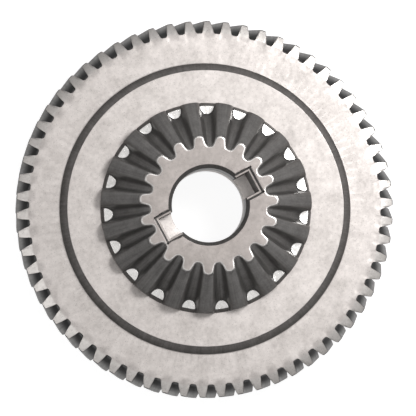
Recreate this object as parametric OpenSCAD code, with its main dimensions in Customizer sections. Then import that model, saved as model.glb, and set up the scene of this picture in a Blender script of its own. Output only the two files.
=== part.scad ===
// Stand mixer gear, pressed and sintered in one piece.
// A helical gear forms the rim. A straight bevel gear stands on its face, and the hub inside
// the bevel teeth has a bore and two opposite blind slots for a drive pin.
// The origin is on the bore axis at the flat back face. +Z points to the bevel side,
// and +X runs along the pin slots. Sizes are in millimetres and angles in degrees.

/* [Rim gear] */
// Number of teeth on the rim
rim_teeth = 62; // [56:1:72]
// Normal module of the rim teeth
rim_module = 1.23; // [1.15:0.01:1.4]
// Normal pressure angle of the rim teeth
rim_pressure = 14.5; // [14:0.5:20]
// Helix angle of the rim teeth at the pitch circle, left hand
rim_helix = 16; // [0:0.5:22]
// Height of a rim tooth above the pitch circle, in modules
rim_addendum = 1; // [0.8:0.05:1.1]
// Depth of a rim tooth below the pitch circle, in modules
rim_dedendum = 1.2; // [1.1:0.05:1.5]
// Share of the pitch that a gap takes at the pitch circle
rim_gap_share = 0.5; // [0.47:0.005:0.54]
// Fillet radius at the root of the rim teeth
rim_fillet = 0.5; // [0.1:0.05:0.6]
// Width of the rim from its back face to its front face
rim_w = 10.6; // [8:0.1:13]
// How far the ends of the teeth slope away between the root circle and the tips
rim_end_drop = 0.8; // [0.2:0.1:1.5]
// Angle from +X to the centre of the first rim gap, at the front face
rim_phase = -0.3; // [-3:0.1:3]

/* [Plate] */
// Radius at the foot of the sloped step inside the rim
step_r = 31.5; // [27:0.1:34]
// How far the wall of the step leans inward
step_run = 1.5; // [0:0.1:3]
// Height of the step above the rim face
step_h = 2.4; // [1:0.1:4]
// Fillet radius at the foot of the step
step_fillet = 0.5; // [0.1:0.1:1]
// Height of the pad under the bevel teeth above the plateau
pad_h = 1.4; // [0.8:0.1:2.4]
// How far the edge of the pad leans inward
pad_run = 0.65; // [0.2:0.05:1]

/* [Bevel gear] */
// Number of bevel teeth
bevel_teeth = 19; // [15:1:23]
// Pressure angle of the bevel teeth
bevel_pressure = 20; // [16:0.5:23]
// Half angle of the pitch cone
bevel_pitch_angle = 38; // [37.2:0.1:39.4]
// Half angle of the tip cone
bevel_tip_angle = 40.7; // [39.6:0.1:41.5]
// Half angle of the root cone
bevel_root_angle = 35.7; // [35:0.1:37]
// Share of the pitch that a gap takes at the pitch cone
bevel_gap_share = 0.43; // [0.4:0.005:0.5]
// Fillet radius at the root of the bevel teeth, where they meet the hub face
bevel_fillet = 0.85; // [0.2:0.05:0.9]
// Height of the common apex of the cones above the hub face
bevel_apex_h = 17.5; // [16.5:0.1:18.5]
// Radius of the upright outer ends of the bevel teeth
heel_r = 22.8; // [21.5:0.1:24]
// Angle from +X to the centre of the first bevel gap
bevel_phase = 4.35; // [-9:0.05:9]

/* [Hub] */
// Height of the hub face above the plateau
hub_h = 12; // [11.2:0.1:14]
// Bore diameter
bore_d = 15.88; // [12:0.01:18]
// Chamfer at the top of the bore
bore_chamfer = 0.8; // [0.2:0.1:1.4]
// Width of the drive pin slots
slot_w = 4.85; // [3:0.05:8]
// Distance from the axis to the closed end of a slot, below its ledge
slot_r = 10.9; // [9.8:0.05:11.1]
// Depth of the slots below the hub face
slot_depth = 7; // [3:0.1:10]
// How far the closed end of a slot leans inward from its mouth to its floor
slot_end_run = 0.4; // [0:0.1:0.8]
// Chamfer round the mouth of the slots
slot_chamfer = 0.45; // [0.1:0.05:0.5]
// Width of the flat ledge between the chamfer and the walls of a slot
slot_ledge = 0.4; // [0.1:0.05:0.5]

/* [Back] */
// Diameter of the clearance bore behind the fitted bore
relief_d = 19.6; // [18.4:0.1:24]
// Depth of the clearance bore from the back face
relief_depth = 13; // [4:0.5:14]
// Chamfer at the mouth of the clearance bore
relief_chamfer = 0.6; // [0.2:0.1:1.5]
// Radius of the hub boss on the back
boss_r = 14.5; // [13.8:0.1:20]
// Width of the flat ring between the back recess and the root circle of the rim
back_ring_w = 4.2; // [2.5:0.1:8]
// Depth of the ring-shaped recess in the back
recess_depth = 3; // [0.5:0.1:5]
// How far the walls of the recess lean
recess_run = 0.8; // [0:0.1:2]

/* [Hidden] */

// Amount by which a cutter passes the surface that it opens
over = 1;
// Straight steps along one flank of a tooth
flank_steps = 4;
// Straight steps round one root fillet
fillet_steps = 3;
// Straight steps round one fillet of the plate
edge_steps = 4;
// Twist that one slice of a helical gap may cover
slice_twist = 6;
// Facets of the turned outlines
turned_facets = 180;
// Facets of the bores
bore_facets = 96;

// Levels above the back face
plateau_z = rim_w + step_h;
pad_z = plateau_z + pad_h;
hub_z = plateau_z + hub_h;
apex_z = hub_z + bevel_apex_h;

// Rim gear in its transverse plane
rim_transverse_module = rim_module / cos(rim_helix);
rim_transverse_pressure = atan(tan(rim_pressure) / cos(rim_helix));
rim_pitch_r = rim_teeth * rim_transverse_module / 2;
rim_base_r = rim_pitch_r * cos(rim_transverse_pressure);
rim_tip_r = rim_pitch_r + rim_addendum * rim_module;
rim_root_r = rim_pitch_r - rim_dedendum * rim_module;
recess_r = rim_root_r - back_ring_w;

// Bevel gear as the virtual spur gear on its back cone, for a pitch cone of unit length
virtual_teeth = bevel_teeth / cos(bevel_pitch_angle);
virtual_pitch_r = virtual_r(bevel_pitch_angle);
virtual_base_r = virtual_pitch_r * cos(bevel_pressure);
virtual_tip_r = virtual_r(bevel_tip_angle);
virtual_root_r = virtual_r(bevel_root_angle);
hub_cone_length = bevel_apex_h / cos(bevel_pitch_angle);

// The tip cone meets the upright heels at this level
heel_z = apex_z - heel_r / tan(bevel_tip_angle);
bevel_hub_tip_r = bevel_apex_h * tan(bevel_tip_angle);

// Virtual radius of the cone with this half angle
function virtual_r(cone_angle) =
    sin(cone_angle) / (cos(bevel_pitch_angle) * cos(cone_angle - bevel_pitch_angle));

// Involute function of an angle, in degrees
function involute(angle) = tan(angle) * 180 / PI - angle;

// Pressure angle of an involute at radius r
function pressure_at(base_r, r) = acos(min(1, base_r / r));

// Half the angle of a gap at radius r, where half_gap is its value at the pitch circle
function gap_angle(pitch_r, base_r, half_gap, r) =
    half_gap + involute(pressure_at(base_r, r)) - involute(pressure_at(base_r, pitch_r));

function polar(r, angle) = [r * cos(angle), r * sin(angle)];

// Points of an arc about centre c
function arc(c, r, from, to, steps) =
    [for (i = [0 : steps]) c + polar(r, from + (to - from) * i / steps)];

// One side of a tooth gap centred on +X, from its root outward: a root fillet and an involute
function gap_side(pitch_r, base_r, root_r, tip_r, half_gap, fillet) =
    let (
        root_half = gap_angle(pitch_r, base_r, half_gap, root_r),
        lean = pressure_at(base_r, root_r) + root_half,
        f = min(fillet, root_r * sin(root_half) * cos(lean) / (1 - sin(lean))),
        start_r = root_r + f * (1 - sin(lean)),
        start_half = gap_angle(pitch_r, base_r, half_gap, start_r),
        start_lean = pressure_at(base_r, start_r) + start_half,
        start = polar(start_r, start_half),
        centre = start + f * [sin(start_lean), -cos(start_lean)]
    )
    concat(
        arc(centre, f, 180, 90 + start_lean, fillet_steps),
        [for (i = [1 : flank_steps])
            let (r = start_r + (tip_r - start_r) * i / flank_steps)
            polar(r, gap_angle(pitch_r, base_r, half_gap, r))]
    );

function mirrored(points) =
    [for (i = [len(points) - 1 : -1 : 0]) [points[i].x, -points[i].y]];

// Outline of a gap whose open end runs on past the tips
function gap_outline(side) =
    let (last = side[len(side) - 1], reach = norm(last) + over)
    concat(side, [[reach, last.y]], mirrored(concat(side, [[reach, last.y]])));

rim_gap_side = gap_side(rim_pitch_r, rim_base_r, rim_root_r, rim_tip_r,
    180 / rim_teeth * rim_gap_share, rim_fillet);

virtual_gap_side = gap_side(virtual_pitch_r, virtual_base_r, virtual_root_r, virtual_tip_r,
    180 / virtual_teeth * bevel_gap_share, bevel_fillet / hub_cone_length);

// A point of the virtual gear, carried from the back cone to a flat section below the apex
function to_section(p, depth) =
    let (
        r = norm(p),
        angle = atan2(p.y, p.x) / cos(bevel_pitch_angle),
        slope = r * cos(bevel_pitch_angle) ^ 2
            / (1 - r * sin(bevel_pitch_angle) * cos(bevel_pitch_angle))
    )
    polar(depth * slope, angle);

// Half section of the plate with the rim, the step, the pad and the back recess
module plate_section() {
    fillet_lean = atan(step_run / step_h);
    fillet_back = step_fillet * tan((90 - fillet_lean) / 2);
    foot = arc([step_r + fillet_back, rim_w + step_fillet], step_fillet,
        270, 180 + fillet_lean, edge_steps);
    polygon(concat(
        [
            [0, 0],
            [boss_r, 0],
            [boss_r + recess_run, recess_depth],
            [recess_r - recess_run, recess_depth],
            [recess_r, 0],
            [rim_root_r, 0],
            [rim_tip_r, rim_end_drop],
            [rim_tip_r, rim_w - rim_end_drop],
            [rim_root_r, rim_w]
        ],
        foot,
        [
            [step_r - step_run, plateau_z],
            [heel_r, plateau_z],
            [heel_r - pad_run, pad_z],
            [0, pad_z]
        ]
    ));
}

// The gaps between the helical rim teeth
module rim_gaps() {
    length = rim_w + 2 * over;
    twist = length * tan(rim_helix) / rim_pitch_r * 180 / PI;
    over_twist = twist * over / length;
    translate([0, 0, rim_w + over])
        mirror([0, 0, 1])
            linear_extrude(length, twist = -twist, slices = max(1, round(twist / slice_twist)))
                for (i = [0 : rim_teeth - 1])
                    rotate(rim_phase - over_twist + 360 / rim_teeth * i)
                        polygon(gap_outline(rim_gap_side));
}

// The disc with its toothed rim
module toothed_plate() {
    difference() {
        rotate_extrude($fn = turned_facets) plate_section();
        rim_gaps();
    }
}

// The gaps between the bevel teeth, which all point to the apex
module bevel_gaps() {
    low = plateau_z - 2 * over;
    high = hub_z + over;
    depth = apex_z - low;
    side = [for (p = virtual_gap_side) to_section(p, depth)];
    translate([0, 0, low])
        linear_extrude(high - low, scale = (apex_z - high) / depth)
            for (i = [0 : bevel_teeth - 1])
                rotate(bevel_phase + 360 / bevel_teeth * i)
                    polygon(gap_outline(side));
}

// The bevel teeth and the hub inside them
module bevel_gear() {
    difference() {
        rotate_extrude($fn = turned_facets)
            polygon([
                [0, plateau_z - over],
                [heel_r, plateau_z - over],
                [heel_r, heel_z],
                [bevel_hub_tip_r, hub_z],
                [0, hub_z]
            ]);
        bevel_gaps();
    }
}

// The bore with its chamfer, and the wider clearance bore behind it
module bores() {
    translate([0, 0, -over])
        cylinder(hub_z + 2 * over, d = bore_d, $fn = bore_facets);
    translate([0, 0, hub_z - bore_chamfer])
        cylinder(bore_chamfer + over, d1 = bore_d, d2 = bore_d + 2 * (bore_chamfer + over),
            $fn = bore_facets);
    translate([0, 0, -over])
        cylinder(relief_depth + over, d = relief_d, $fn = bore_facets);
    translate([0, 0, -over])
        cylinder(relief_chamfer + over, d1 = relief_d + 2 * (relief_chamfer + over), d2 = relief_d,
            $fn = bore_facets);
}

// Outline across one slot or along both, from the floor up past the ledge to the chamfered mouth
module slot_outline(mouth_half, floor_half) {
    ledge_half = mouth_half + slot_ledge;
    rim_half = ledge_half + slot_chamfer;
    ledge_z = hub_z - slot_chamfer;
    polygon([
        [-floor_half, hub_z - slot_depth],
        [floor_half, hub_z - slot_depth],
        [mouth_half, ledge_z],
        [ledge_half, ledge_z],
        [rim_half, hub_z],
        [rim_half, hub_z + over],
        [-rim_half, hub_z + over],
        [-rim_half, hub_z],
        [-ledge_half, ledge_z],
        [-mouth_half, ledge_z]
    ]);
}

// Both pin slots in one cut across the bore
module pin_slots() {
    span = 2 * (slot_r + slot_ledge + slot_chamfer + over);
    intersection() {
        rotate([90, 0, 90])
            linear_extrude(span, center = true)
                slot_outline(slot_w / 2, slot_w / 2);
        rotate([90, 0, 0])
            linear_extrude(span, center = true)
                slot_outline(slot_r, slot_r - slot_end_run);
    }
}

module mixer_gear() {
    color("silver")
        difference() {
            union() {
                toothed_plate();
                bevel_gear();
            }
            bores();
            pin_slots();
        }
}

mixer_gear();
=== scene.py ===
"""Dresses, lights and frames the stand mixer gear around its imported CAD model.

The gear is one pressed and sintered piece. Its skin is built here from the same sizes as the
CAD solid, with smooth involute flanks and rounded edges that facets can't show: one tooth
pitch of the rim and one of the bevel gear are modelled, and Geometry Nodes repeat them round
the axis and close them with the plate and the hub. Lengths are in millimetres until a mesh is
made, and +Z, +X and the origin are those of the CAD model.
"""
import logging
import math
from collections.abc import Mapping, Sequence
from dataclasses import dataclass, field
from enum import Enum
from typing import NamedTuple

import bmesh
import bpy
from mathutils import Matrix, Vector


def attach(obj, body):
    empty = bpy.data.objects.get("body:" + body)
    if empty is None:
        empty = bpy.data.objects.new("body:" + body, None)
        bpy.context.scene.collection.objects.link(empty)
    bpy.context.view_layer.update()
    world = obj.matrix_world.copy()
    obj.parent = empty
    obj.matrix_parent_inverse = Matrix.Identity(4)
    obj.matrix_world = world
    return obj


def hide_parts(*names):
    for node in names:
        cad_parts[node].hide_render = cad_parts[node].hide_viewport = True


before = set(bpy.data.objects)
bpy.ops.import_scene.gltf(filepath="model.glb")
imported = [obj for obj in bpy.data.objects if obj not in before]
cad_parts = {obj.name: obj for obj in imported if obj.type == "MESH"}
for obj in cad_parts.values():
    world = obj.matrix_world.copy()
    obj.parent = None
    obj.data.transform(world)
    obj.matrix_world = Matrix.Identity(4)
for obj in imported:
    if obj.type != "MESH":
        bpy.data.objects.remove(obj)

LOG = logging.getLogger("mixer_gear")
MM = 0.001
MERGE_MM = 0.002
ROUNDING = "bevel_weight_edge"
PRESSED = "as_pressed"

Colour = tuple[float, float, float, float]


def linked(name: str, data: bpy.types.ID) -> bpy.types.Object:
    """Puts a new object in the scene.

    Args:
        name: The object's name.
        data: Its mesh, lamp or camera.

    Returns:
        The object.
    """
    made = bpy.data.objects.new(name, data)
    bpy.context.scene.collection.objects.link(made)
    return made


class End(Enum):
    """An end of the rim teeth."""

    FRONT = "flush with the rim face"
    BACK = "flush with the back"


class Ring(Enum):
    """A ring of points where the bevel teeth meet the rest of the gear."""

    HUB_FACE = "round the hub face"
    PLATEAU = "round the foot on the plateau"


class Stretch(Enum):
    """A stretch of the bore's outline."""

    MOUTH = "across the mouth of a slot"
    WALL = "from one slot to the other"


class Polar(NamedTuple):
    """A point of a flat section.

    Attributes:
        r: Its radius.
        angle: Its angle in radians.
    """

    r: float
    angle: float

    def turned(self, angle: float) -> "Polar":
        """The same point, turned about the axis."""
        return Polar(self.r, self.angle + angle)

    def at(self, z: float) -> Vector:
        """The point of the gear at this level."""
        return Vector((self.r * math.cos(self.angle), self.r * math.sin(self.angle), z))


@dataclass
class Row:
    """One line of points across a skin.

    Attributes:
        points: The points, in the order of the columns.
        rounding: How much of the edge rounding the row's own edges get, from 0 to 1, for all
            of them or for each one.
        pressed: Whether the faces between this row and the next are left dark as pressed, for all
            of them or for each one.
        columns: The rounding of the edges that lead from some of the points to the next row.
    """

    points: list[Vector]
    rounding: float | list[float] = 0.0
    pressed: bool | list[bool] = False
    columns: Mapping[int, float] = field(default_factory=dict)

    def rounding_at(self, step: int) -> float:
        """The rounding of the edge that starts at this column."""
        return self.rounding[step] if isinstance(self.rounding, list) else self.rounding

    def pressed_at(self, step: int) -> bool:
        """Whether the face that starts at this column is left dark."""
        return self.pressed[step] if isinstance(self.pressed, list) else self.pressed


class Skin:
    """A skin of four-sided faces between rows of points."""

    def __init__(self) -> None:
        """Starts an empty skin with its two layers."""
        self.mesh = bmesh.new()
        self.rounding = self.mesh.edges.layers.float.new(ROUNDING)
        self.pressed = self.mesh.faces.layers.bool.new(PRESSED)

    def add(self, rows: Sequence[Row], closed: bool) -> None:
        """Joins each row to the next one.

        Args:
            rows: Rows with as many points each, from the front of the gear outward and down.
            closed: Whether the last column is followed by the first.
        """
        bm = self.mesh
        lines = [[bm.verts.new(p * MM) for p in row.points] for row in rows]
        count = len(rows[0].points)
        steps = [(j, (j + 1) % count) for j in range(count if closed else count - 1)]
        for row, upper, lower in zip(rows, lines, lines[1:]):
            for j, k in steps:
                face = bm.faces.new((lower[j], lower[k], upper[k], upper[j]))
                face[self.pressed] = row.pressed_at(j)
            for j, rounding in row.columns.items():
                bm.edges.get((upper[j], lower[j]))[self.rounding] = rounding
        for row, line in zip(rows, lines):
            for j, k in steps:
                bm.edges.get((line[j], line[k]))[self.rounding] = row.rounding_at(j)

    def finish(self, name: str) -> bpy.types.Object:
        """Merges double points, drops faces with no area and makes the object.

        Args:
            name: The object's name.

        Returns:
            The object, in the scene.
        """
        bm = self.mesh
        bmesh.ops.remove_doubles(bm, verts=bm.verts, dist=MERGE_MM * MM)
        bmesh.ops.dissolve_degenerate(bm, edges=bm.edges, dist=MERGE_MM * MM / 4)
        data = bpy.data.meshes.new(name)
        bm.to_mesh(data)
        bm.free()
        return linked(name, data)


@dataclass(frozen=True)
class GapForm:
    """One gap between involute teeth, in the plane where the flanks are involutes.

    Angles are in radians from the middle of the gap, and lengths are in one unit throughout.

    Attributes:
        pitch_r: Radius of the pitch circle.
        base_r: Radius of the base circle.
        root_r: Radius at the bottom of the gap.
        tip_r: Radius of the tooth tips.
        half_gap: Half the angle that the gap spans at the pitch circle.
        fillet: Radius of the root fillets.
        fillet_steps: Straight steps round a fillet.
        flank_steps: Straight steps along an involute.
        rounds: How often the fillet is worked out anew, until it meets root and flank.
        full_round: A root flatter than this share of its fillet counts as one full round.
    """

    pitch_r: float
    base_r: float
    root_r: float
    tip_r: float
    half_gap: float
    fillet: float
    fillet_steps: int = 4
    flank_steps: int = 6
    rounds: int = 6
    full_round: float = 0.05

    def pressure(self, r: float) -> float:
        """Pressure angle of the flank at radius r."""
        return math.acos(min(1.0, self.base_r / r))

    def half_angle(self, r: float) -> float:
        """Half the angle of the gap at radius r."""
        here, pitch = self.pressure(r), self.pressure(self.pitch_r)
        return self.half_gap + (math.tan(here) - here) - (math.tan(pitch) - pitch)

    def side(self, also: float | None = None) -> list[Polar]:
        """One side of the gap, from its middle outward.

        Args:
            also: A radius at which the flank must have a point.

        Returns:
            The middle of the root, the fillet and the involute.
        """
        start_r, f = self.root_r, self.fillet
        for _ in range(self.rounds):
            start_half = self.half_angle(start_r)
            start_lean = self.pressure(start_r) + start_half
            f = min(self.fillet, start_r * math.sin(start_half) / math.cos(start_lean))
            start_r = self.root_r + f * (1 - math.sin(start_lean))
        start_half = self.half_angle(start_r)
        start_lean = self.pressure(start_r) + start_half
        cx = start_r * math.cos(start_half) + f * math.sin(start_lean)
        cy = max(0.0, start_r * math.sin(start_half) - f * math.cos(start_lean))
        sweep = math.pi / 2 - start_lean
        points = [Polar(self.root_r, 0.0)]
        for i in range(1 if cy < f * self.full_round else 0, self.fillet_steps + 1):
            turn = math.pi - sweep * i / self.fillet_steps
            x, y = cx + f * math.cos(turn), cy + f * math.sin(turn)
            points.append(Polar(math.hypot(x, y), math.atan2(y, x)))
        step = (self.tip_r - start_r) / self.flank_steps
        radii = [start_r + step * i for i in range(1, self.flank_steps + 1)]
        if also is not None:
            apart = step / 3
            radii = sorted([r for r in radii if abs(r - also) > apart] + [also])
        return points + [Polar(r, self.half_angle(r)) for r in radii]


@dataclass(frozen=True)
class RimGear:
    """The helical rim gear, cut into the edge of the plate.

    Angles are in radians, and lengths in millimetres.

    Attributes:
        teeth: How many teeth there are.
        module: Normal module.
        pressure: Normal pressure angle.
        helix: Helix angle, left-hand.
        addendum: Height of the teeth above the pitch circle, in modules.
        dedendum: Depth of the gaps below the pitch circle, in modules.
        gap_share: Share of the pitch that a gap takes at the pitch circle.
        fillet: Largest radius of the root fillets.
        width: Width of the rim.
        end_drop: How far the tooth ends slope back toward the tips.
        phase: Angle of the first gap at the rim face.
        crown_steps: Straight steps across a tooth tip.
        length_steps: Straight steps along a tooth.
        collar: Width of the flat ring inside the gaps that is made with a tooth.
        end_rounding: Rounding of the tooth ends, from 0 to 1.
        tip_rounding: Rounding of the tip corners, from 0 to 1.
    """

    teeth: int = 62
    module: float = 1.23
    pressure: float = math.radians(14.5)
    helix: float = math.radians(16)
    addendum: float = 1.0
    dedendum: float = 1.2
    gap_share: float = 0.5
    fillet: float = 0.5
    width: float = 10.6
    end_drop: float = 0.8
    phase: float = math.radians(-0.3)
    crown_steps: int = 3
    length_steps: int = 6
    collar: float = 1.6
    end_rounding: float = 0.35
    tip_rounding: float = 0.4

    @property
    def pitch_r(self) -> float:
        """Radius of the pitch circle."""
        return self.teeth * self.module / math.cos(self.helix) / 2

    @property
    def root_r(self) -> float:
        """Radius at the bottom of the gaps."""
        return self.pitch_r - self.dedendum * self.module

    @property
    def tip_r(self) -> float:
        """Radius of the tooth tips."""
        return self.pitch_r + self.addendum * self.module

    @property
    def pitch(self) -> float:
        """Angle from one gap to the next."""
        return 2 * math.pi / self.teeth

    @property
    def collar_r(self) -> float:
        """Radius where the toothed ring meets the plate."""
        return self.root_r - self.collar

    def gap(self) -> GapForm:
        """The gap in the plane across the axis.

        Returns:
            Its form, in millimetres.
        """
        transverse = math.atan(math.tan(self.pressure) / math.cos(self.helix))
        return GapForm(
            self.pitch_r,
            self.pitch_r * math.cos(transverse),
            self.root_r,
            self.tip_r,
            self.pitch / 2 * self.gap_share,
            self.fillet,
        )

    def section(self) -> tuple[list[Polar], list[int]]:
        """One tooth in the plane across the axis.

        Returns:
            Its points from gap to gap, and the places of its two tip corners among them.
        """
        half = self.gap().side()
        corner = half[-1].angle
        step = (self.pitch - 2 * corner) / self.crown_steps
        crown = [Polar(self.tip_r, corner + step * i) for i in range(1, self.crown_steps)]
        far = [Polar(p.r, self.pitch - p.angle) for p in reversed(half)]
        first = len(half) - 1
        return [*half, *crown, *far], [first, first + len(crown) + 1]

    def helix_turn(self, z: float) -> float:
        """How far the teeth have turned at this level since the front face."""
        return self.phase + (self.width - z) * math.tan(self.helix) / self.pitch_r

    def end_z(self, r: float, end: End) -> float:
        """Level of a tooth's end at radius r."""
        slope = self.end_drop * max(0.0, r - self.root_r) / (self.tip_r - self.root_r)
        return self.width - slope if end is End.FRONT else slope

    def ring_angles(self, z: float) -> list[float]:
        """Angles of every column all round, at this level."""
        one = [p.angle + self.helix_turn(z) for p in self.section()[0][:-1]]
        return [a + self.pitch * i for i in range(self.teeth) for a in one]

    def tooth(self) -> bpy.types.Object:
        """Models one tooth pitch, with its ends as far in as the collar.

        Returns:
            The tooth, with the gap halves on both its sides.
        """
        section, corners = self.section()

        def circle(r: float, z: float) -> list[Vector]:
            """The columns' points at one radius and level."""
            return [Polar(r, p.angle).turned(self.helix_turn(z)).at(z) for p in section]

        def along(share: float) -> list[Vector]:
            """Places the columns' points along the tooth.

            Args:
                share: Where along the tooth, from 0 at the front to 1 at the back.

            Returns:
                The points.
            """
            points = []
            for p in section:
                z = self.end_z(p.r, End.FRONT) * (1 - share) + self.end_z(p.r, End.BACK) * share
                points.append(p.turned(self.helix_turn(z)).at(z))
            return points

        shoulder = self.root_r - self.collar / 3
        tips = {c: self.tip_rounding for c in corners}
        steps = self.length_steps
        flanks = [Row(along(i / steps), 0, True, tips) for i in range(steps)]
        flanks[0].rounding = self.end_rounding
        rows = [
            Row(circle(self.collar_r, self.width)),
            Row(circle(shoulder, self.width)),
            *flanks,
            Row(along(1), self.end_rounding),
            Row(circle(shoulder, 0)),
            Row(circle(self.collar_r, 0)),
        ]
        skin = Skin()
        skin.add(rows, False)
        return skin.finish("rim_tooth")


@dataclass(frozen=True)
class Plate:
    """The plate inside the rim: its step, its plateau and its recessed back.

    Lengths are in millimetres.

    Attributes:
        rim: The rim gear round it.
        step_r: Radius at the foot of the step.
        step_run: How far the step leans inward.
        step_h: Height of the step.
        step_fillet: Radius of the fillet at the foot of the step.
        fillet_steps: Straight steps round that fillet.
        boss_r: Outer radius of the flat ring round the bore, on the back.
        back_ring: Width of the flat ring inside the roots of the rim teeth, on the back.
        recess_depth: Depth of the recess between the two flat rings.
        recess_run: How far the walls of the recess lean.
        relief_r: Radius of the clearance bore in the back.
        relief_depth: Depth of the clearance bore.
        relief_chamfer: Chamfer at the mouth of the clearance bore.
        edge_rounding: Rounding of the edges, from 0 to 1.
    """

    rim: RimGear
    step_r: float = 31.5
    step_run: float = 1.5
    step_h: float = 2.4
    step_fillet: float = 0.5
    fillet_steps: int = 4
    boss_r: float = 14.5
    back_ring: float = 4.2
    recess_depth: float = 3.0
    recess_run: float = 0.8
    relief_r: float = 9.8
    relief_depth: float = 13.0
    relief_chamfer: float = 0.6
    edge_rounding: float = 0.45

    @property
    def plateau_z(self) -> float:
        """Level of the plateau inside the step."""
        return self.rim.width + self.step_h

    def core(self) -> bpy.types.Object:
        """Models all of the plate inside the collar of the rim, as one turned skin.

        Returns:
            The skin, open at the collar, where the rim teeth close it.
        """
        rim = self.rim
        recess_r = rim.root_r - self.back_ring
        lean = math.atan(self.step_run / self.step_h)
        back = self.step_fillet * math.tan((math.pi / 2 - lean) / 2)
        cx, cz = self.step_r + back, rim.width + self.step_fillet
        foot = []
        for i in range(self.fillet_steps + 1):
            turn = (math.pi / 2 - lean) * (1 - i / self.fillet_steps)
            foot.append((cx - self.step_fillet * math.sin(turn), cz - self.step_fillet * math.cos(turn)))
        edge = self.edge_rounding
        outline = [
            (rim.collar_r, 0.0, 0.0, False),
            (recess_r, 0.0, edge, True),
            (recess_r - self.recess_run, self.recess_depth, edge, True),
            (self.boss_r + self.recess_run, self.recess_depth, edge, True),
            (self.boss_r, 0.0, edge, False),
            (self.relief_r + self.relief_chamfer, 0.0, edge / 2, True),
            (self.relief_r, self.relief_chamfer, edge / 2, True),
            (self.relief_r, self.relief_depth, 0.0, False),
            (self.step_r - self.step_run, self.plateau_z, edge, True),
            *[(r, z, 0.0, i < self.fillet_steps // 2) for i, (r, z) in enumerate(foot)],
            (rim.collar_r, rim.width, 0.0, False),
        ]
        rows = []
        for r, z, rounding, pressed in outline:
            level = 0.0 if z <= self.recess_depth else rim.width
            points = [Polar(r, a).at(z) for a in rim.ring_angles(level)]
            rows.append(Row(points, rounding, pressed))
        skin = Skin()
        skin.add(rows, True)
        return skin.finish("plate_core")


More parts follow.
